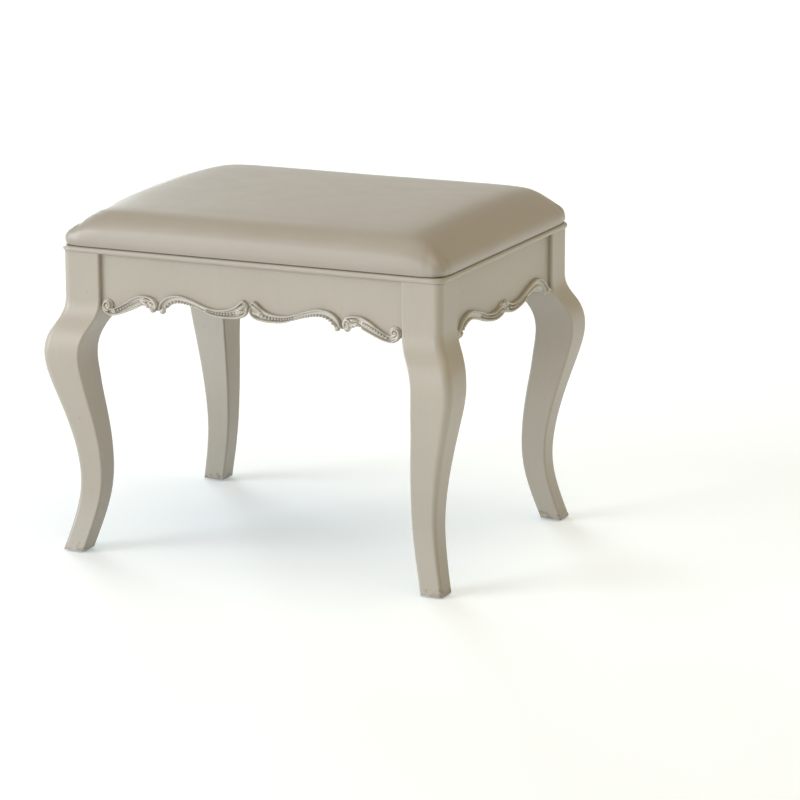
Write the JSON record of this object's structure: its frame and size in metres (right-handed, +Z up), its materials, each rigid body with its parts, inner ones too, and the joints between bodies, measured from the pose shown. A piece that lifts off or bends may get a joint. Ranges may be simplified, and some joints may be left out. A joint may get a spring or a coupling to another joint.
{
  "type": "vanity stool",
  "caption": "Upholstered vanity stool on cabriole legs, with scalloped carved aprons, a bead moulding and a crowned seat cushion.",
  "frame": {"origin": "on the floor, under the middle of the stool", "axes": "+Z up, front faces -Y, +X along the stool's width to the right seen from the front"},
  "size_m": [0.559, 0.4502, 0.4501],
  "materials": {
    "painted_wood": "satin antique pearl white paint, with darker glaze in the carving's recesses",
    "bare_wood": "unfinished hardwood",
    "plywood": "unfinished plywood",
    "foam": "polyurethane seat foam",
    "upholstery": "semi-gloss faux leather, pearl beige",
    "dust_cloth": "black non-woven dust cloth",
    "zinc_steel": "zinc plated",
    "glide_plastic": "matte nylon"
  },
  "bodies": {
    "root": {"leg_front_left": "painted_wood", "corner_block_front_left": "bare_wood", "leg_front_right": "painted_wood", "corner_block_front_right": "bare_wood", "leg_back_right": "painted_wood", "corner_block_back_right": "bare_wood", "leg_back_left": "painted_wood", "corner_block_back_left": "bare_wood", "apron_front": "painted_wood", "carving_front": "painted_wood", "top_rail_front": "painted_wood", "apron_right": "painted_wood", "carving_right": "painted_wood", "top_rail_right": "painted_wood", "apron_back": "painted_wood", "carving_back": "painted_wood", "top_rail_back": "painted_wood", "apron_left": "painted_wood", "carving_left": "painted_wood", "top_rail_left": "painted_wood", "seat_board": "plywood", "seat_foam": "foam", "seat_cover": "upholstery", "dust_cover": "dust_cloth", "apron_dowels": "bare_wood", "hanger_bolts": "zinc_steel", "bolt_washers": "zinc_steel", "bolt_nuts": "zinc_steel", "block_screws": "zinc_steel", "seat_screws": "zinc_steel", "dust_cover_staples": "zinc_steel", "foot_glides": "glide_plastic"}
  },
  "joints": []
}
